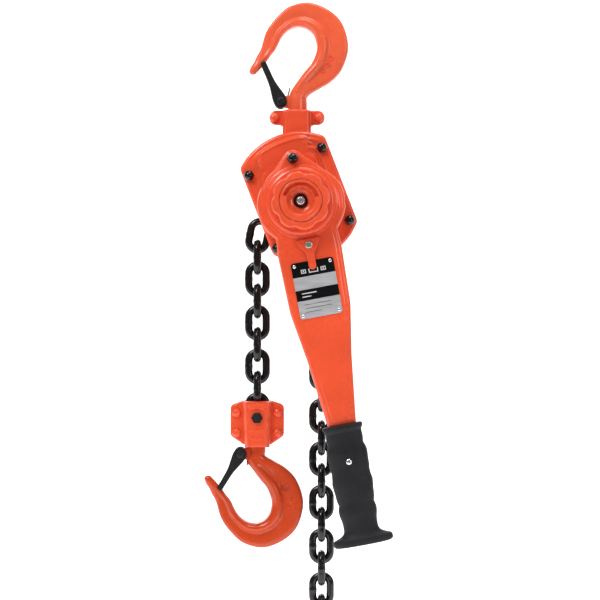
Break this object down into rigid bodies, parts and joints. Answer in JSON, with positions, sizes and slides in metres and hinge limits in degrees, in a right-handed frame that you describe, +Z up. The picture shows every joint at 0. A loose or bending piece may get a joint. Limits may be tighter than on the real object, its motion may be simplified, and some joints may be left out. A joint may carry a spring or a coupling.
{
  "type": "lever chain hoist",
  "caption": "Hand ratchet lever hoist: swivel hooks with spring latches above and below, leaning round frame, hand wheel, long lever with rubber grip, and link load chain.",
  "frame": {"origin": "inside the crown of the top hook's bowl, where the hoist hangs", "axes": "+Z up along the hanging hoist, front with the hand wheel and lever towards -Y, +X to the right"},
  "size_m": [0.2572, 0.166, 0.8806],
  "materials": {
    "orange_paint": "glossy orange-red enamel",
    "hook_paint": "glossy darker orange-red enamel on forged steel",
    "black_chain": "glossy black oxide and oil",
    "black_steel": "satin black",
    "steel": "machined steel",
    "grip_rubber": "matt moulded rubber",
    "name_plate": "printed aluminium plate, black and silver bands"
  },
  "bodies": {
    "top_hook": {"top_hook": "hook_paint", "top_latch_pin": "steel"},
    "top_latch": {"top_latch": "black_steel"},
    "yoke": {"top_yoke_front": "orange_paint", "top_yoke_rear": "orange_paint", "top_yoke_rivet_left": "orange_paint", "top_yoke_rivet_right": "orange_paint"},
    "frame": {"suspension_pin": "steel", "front_side_plate": "orange_paint", "rear_side_plate": "orange_paint", "stay_bolt_upper_right": "steel", "stay_bolt_upper_left": "steel", "stay_bolt_lower_right": "steel", "stay_bolt_lower_left": "steel", "cap_nut_upper_right": "black_steel", "cap_nut_upper_left": "black_steel", "cap_nut_lower_right": "black_steel", "cap_nut_lower_left": "black_steel", "front_cover": "orange_paint", "gear_case": "orange_paint", "chain_guide": "steel"},
    "brake_pawl": {"brake_pawl": "steel"},
    "sheave": {"load_sheave": "steel", "load_gear": "steel"},
    "idler_upper": {"idler_gear_upper": "steel"},
    "idler_lower": {"idler_gear_lower": "steel"},
    "pinion": {"pinion_shaft": "steel", "brake_hub": "steel", "ratchet_disc": "steel", "drive_gear": "steel", "castle_nut": "black_steel"},
    "hand_wheel": {"hand_wheel": "orange_paint"},
    "lever": {"lever_arm": "orange_paint", "lever_cover": "orange_paint", "grip": "grip_rubber", "name_plate": "name_plate"},
    "selector": {"selector_lever": "orange_paint", "changeover_pawl": "steel"},
    "load_link_1": {"load_link_1": "black_chain"},
    "load_link_2": {"load_link_2": "black_chain"},
    "load_link_3": {"load_link_3": "black_chain"},
    "load_link_4": {"load_link_4": "black_chain"},
    "load_link_5": {"load_link_5": "black_chain"},
    "load_link_6": {"load_link_6": "black_chain"},
    "load_link_7": {"load_link_7": "black_chain"},
    "load_link_8": {"load_link_8": "black_chain"},
    "load_link_9": {"load_link_9": "black_chain"},
    "block": {"bottom_block_front": "orange_paint", "bottom_block_rear": "orange_paint", "chain_pin": "black_steel", "block_rivet_upper_left": "orange_paint", "block_rivet_upper_right": "orange_paint", "block_rivet_lower_left": "orange_paint", "block_rivet_lower_right": "orange_paint"},
    "bottom_hook": {"bottom_hook": "hook_paint", "bottom_latch_pin": "steel"},
    "bottom_latch": {"bottom_latch": "black_steel"},
    "slack_upper": {"slack_chain_upper": "black_chain"},
    "slack_lower": {"slack_chain_lower": "black_chain"},
    "end_ring": {"end_ring": "steel"}
  },
  "joints": [
    {"name": "top_latch_hinge", "type": "hinge", "parent": "top_hook", "child": "top_latch", "pos_m": [-0.0233, 0, -0.1024], "axis": [0, 1, 0], "range_deg": [0, 35], "stiffness_Nm_per_rad": 0.15, "springref_deg": -17.19},
    {"name": "top_swivel", "type": "hinge", "parent": "top_hook", "child": "yoke", "pos_m": [0, 0, -0.12], "axis": [0, 0, 1], "continuous": true},
    {"name": "frame_swing", "type": "hinge", "parent": "yoke", "child": "frame", "pos_m": [-0.0008, 0, -0.159], "axis": [0, 1, 0], "range_deg": [-8, 8]},
    {"name": "brake_pawl_hinge", "type": "hinge", "parent": "frame", "child": "brake_pawl", "pos_m": [-0.03082, 0, -0.22748], "axis": [0, -1, 0], "range_deg": [0, 12], "stiffness_Nm_per_rad": 0.01, "springref_deg": -11.46},
    {"name": "hook_travel", "type": "slide", "parent": "frame", "child": "load_link_1", "axis": [0, 0, 1], "range_m": [-0.02, 0.02]},
    {"name": "slack_travel", "type": "slide", "parent": "frame", "child": "slack_upper", "axis": [0, 0, 1], "range_m": [-0.02, 0.02]},
    {"name": "sheave_turn", "type": "hinge", "parent": "frame", "child": "sheave", "pos_m": [0.0042, 0, -0.243], "axis": [0, 1, 0], "range_deg": [-30, 30]},
    {"name": "idler_upper_turn", "type": "hinge", "parent": "frame", "child": "idler_upper", "pos_m": [-0.00966, 0, -0.20708], "axis": [0, 1, 0], "range_deg": [-76, 76]},
    {"name": "idler_lower_turn", "type": "hinge", "parent": "frame", "child": "idler_lower", "pos_m": [0.01806, 0, -0.27892], "axis": [0, 1, 0], "range_deg": [-76, 76]},
    {"name": "pinion_turn", "type": "hinge", "parent": "frame", "child": "pinion", "pos_m": [0.0042, 0, -0.243], "axis": [0, 1, 0], "range_deg": [-262, 262]},
    {"name": "hand_wheel_pull", "type": "slide", "parent": "pinion", "child": "hand_wheel", "axis": [0, -1, 0], "range_m": [0, 0.005], "stiffness_N_per_m": 600, "springref_m": -0.006},
    {"name": "lever_turn", "type": "hinge", "parent": "frame", "child": "lever", "pos_m": [0.0042, 0, -0.243], "axis": [0, 1, 0], "continuous": true},
    {"name": "selector_turn", "type": "hinge", "parent": "lever", "child": "selector", "pos_m": [0.0149, 0, -0.30072], "axis": [0, 1, 0], "range_deg": [-18, 18]},
    {"name": "load_link_2_hinge", "type": "hinge", "parent": "load_link_1", "child": "load_link_2", "pos_m": [-0.0552, 0, -0.3062], "axis": [1, 0, 0], "range_deg": [-15, 15]},
    {"name": "load_link_3_hinge", "type": "hinge", "parent": "load_link_2", "child": "load_link_3", "pos_m": [-0.0552, 0, -0.3362], "axis": [0, 1, 0], "range_deg": [0, 15]},
    {"name": "load_link_4_hinge", "type": "hinge", "parent": "load_link_3", "child": "load_link_4", "pos_m": [-0.0552, 0, -0.3662], "axis": [1, 0, 0], "range_deg": [-15, 15]},
    {"name": "load_link_5_hinge", "type": "hinge", "parent": "load_link_4", "child": "load_link_5", "pos_m": [-0.0552, 0, -0.3962], "axis": [0, 1, 0], "range_deg": [0, 15]},
    {"name": "load_link_6_hinge", "type": "hinge", "parent": "load_link_5", "child": "load_link_6", "pos_m": [-0.0552, 0, -0.4262], "axis": [1, 0, 0], "range_deg": [-15, 15]},
    {"name": "load_link_7_hinge", "type": "hinge", "parent": "load_link_6", "child": "load_link_7", "pos_m": [-0.0552, 0, -0.4562], "axis": [0, 1, 0], "range_deg": [0, 15]},
    {"name": "load_link_8_hinge", "type": "hinge", "parent": "load_link_7", "child": "load_link_8", "pos_m": [-0.0552, 0, -0.4862], "axis": [1, 0, 0], "range_deg": [-15, 15]},
    {"name": "load_link_9_hinge", "type": "hinge", "parent": "load_link_8", "child": "load_link_9", "pos_m": [-0.0552, 0, -0.5162], "axis": [0, 1, 0], "range_deg": [0, 15]},
    {"name": "block_hinge", "type": "hinge", "parent": "load_link_9", "child": "block", "pos_m": [-0.0554, 0, -0.5359], "axis": [0, 1, 0], "range_deg": [0, 8]},
    {"name": "bottom_swivel", "type": "hinge", "parent": "block", "child": "bottom_hook", "pos_m": [-0.0554, 0, -0.57], "axis": [0, 0, 1], "continuous": true},
    {"name": "bottom_latch_hinge", "type": "hinge", "parent": "bottom_hook", "child": "bottom_latch", "pos_m": [-0.0786, 0, -0.586], "axis": [0, -1, 0], "range_deg": [0, 35], "stiffness_Nm_per_rad": 0.15, "springref_deg": -17.19},
    {"name": "slack_bend", "type": "hinge", "parent": "slack_upper", "child": "slack_lower", "pos_m": [0.0328, 0, -0.5846], "axis": [0, -1, 0], "range_deg": [0, 15]},
    {"name": "end_ring_hinge", "type": "hinge", "parent": "slack_lower", "child": "end_ring", "pos_m": [0.0328, 0, -0.8234], "axis": [0, 1, 0], "range_deg": [-20, 20]}
  ],
  "couplings": [
    {"joint": "slack_travel", "follows": "hook_travel", "ratio": -1},
    {"joint": "sheave_turn", "follows": "hook_travel", "rad_per_m": 25.316},
    {"joint": "idler_upper_turn", "follows": "hook_travel", "rad_per_m": -63.291},
    {"joint": "idler_lower_turn", "follows": "hook_travel", "rad_per_m": -63.291},
    {"joint": "pinion_turn", "follows": "hook_travel", "rad_per_m": 221.52}
  ]
}
